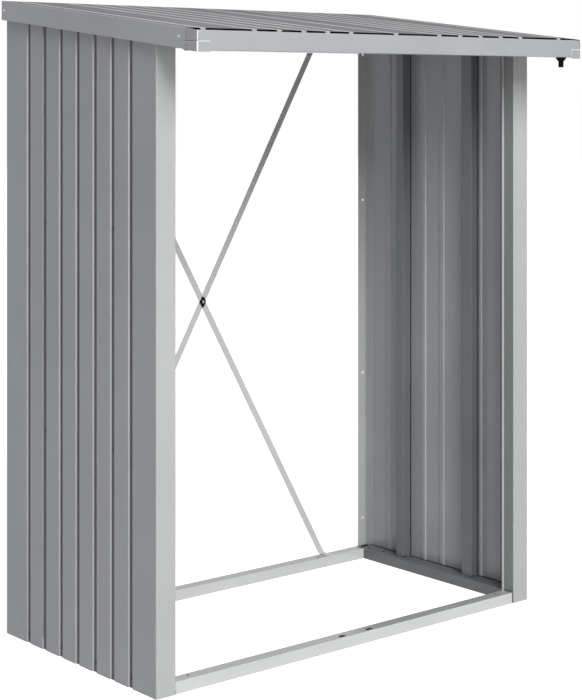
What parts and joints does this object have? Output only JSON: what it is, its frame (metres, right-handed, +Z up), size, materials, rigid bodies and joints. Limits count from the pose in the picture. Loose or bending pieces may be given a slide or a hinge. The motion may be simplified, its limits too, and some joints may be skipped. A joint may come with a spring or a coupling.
{
  "type": "open-fronted metal log store",
  "caption": "Steel firewood shelter with ribbed side walls, open front, cross-braced open back and a lean-to ribbed roof with a gutter.",
  "frame": {"origin": "on the floor, under the middle of the roof", "axes": "+X to the right as seen from the front, +Y from front to back, +Z up"},
  "size_m": [1.57, 1.02, 1.99],
  "materials": {
    "frame_steel": "metallic silver-grey powder coat, satin",
    "rail_steel": "bright silver-grey powder coat on the rails across and the brace strips, satin",
    "inner_steel": "dull zinc-grey coat on the side rails and wall stiffeners, satin",
    "sheet_steel": "metallic silver-grey powder coat on ribbed sheet, satin",
    "roof_steel": "metallic silver-grey powder coat on ribbed sheet, satin",
    "trim_steel": "metallic silver-grey powder coat, satin",
    "black_plastic": "moulded, slightly glossy"
  },
  "bodies": {
    "root": {"base_rail_front": "rail_steel", "base_rail_back": "rail_steel", "base_rail_left": "inner_steel", "base_rail_right": "inner_steel", "front_post_left": "frame_steel", "front_post_right": "frame_steel", "rear_post_left": "frame_steel", "rear_post_right": "frame_steel", "left_wall_front_panel": "sheet_steel", "left_wall_middle_panel": "sheet_steel", "left_wall_rear_panel": "sheet_steel", "right_wall_front_panel": "sheet_steel", "right_wall_middle_panel": "sheet_steel", "right_wall_rear_panel": "sheet_steel", "left_wall_front_stiffener": "inner_steel", "left_wall_rear_stiffener": "inner_steel", "right_wall_front_stiffener": "inner_steel", "right_wall_rear_stiffener": "inner_steel", "top_rail_front": "frame_steel", "top_rail_back": "frame_steel", "top_rail_left": "frame_steel", "top_rail_right": "frame_steel", "roof_rafter": "frame_steel", "roof_sheet_left": "roof_steel", "roof_sheet_right": "roof_steel", "fascia_left": "trim_steel", "fascia_right": "trim_steel", "fascia_back": "trim_steel", "front_gutter": "trim_steel", "rain_spout": "black_plastic", "corner_cap_left": "trim_steel", "corner_cap_right": "trim_steel", "gutter_end_left": "trim_steel", "gutter_end_right": "trim_steel", "brace_rising": "rail_steel", "brace_falling": "rail_steel", "brace_clip": "black_plastic"}
  },
  "joints": []
}
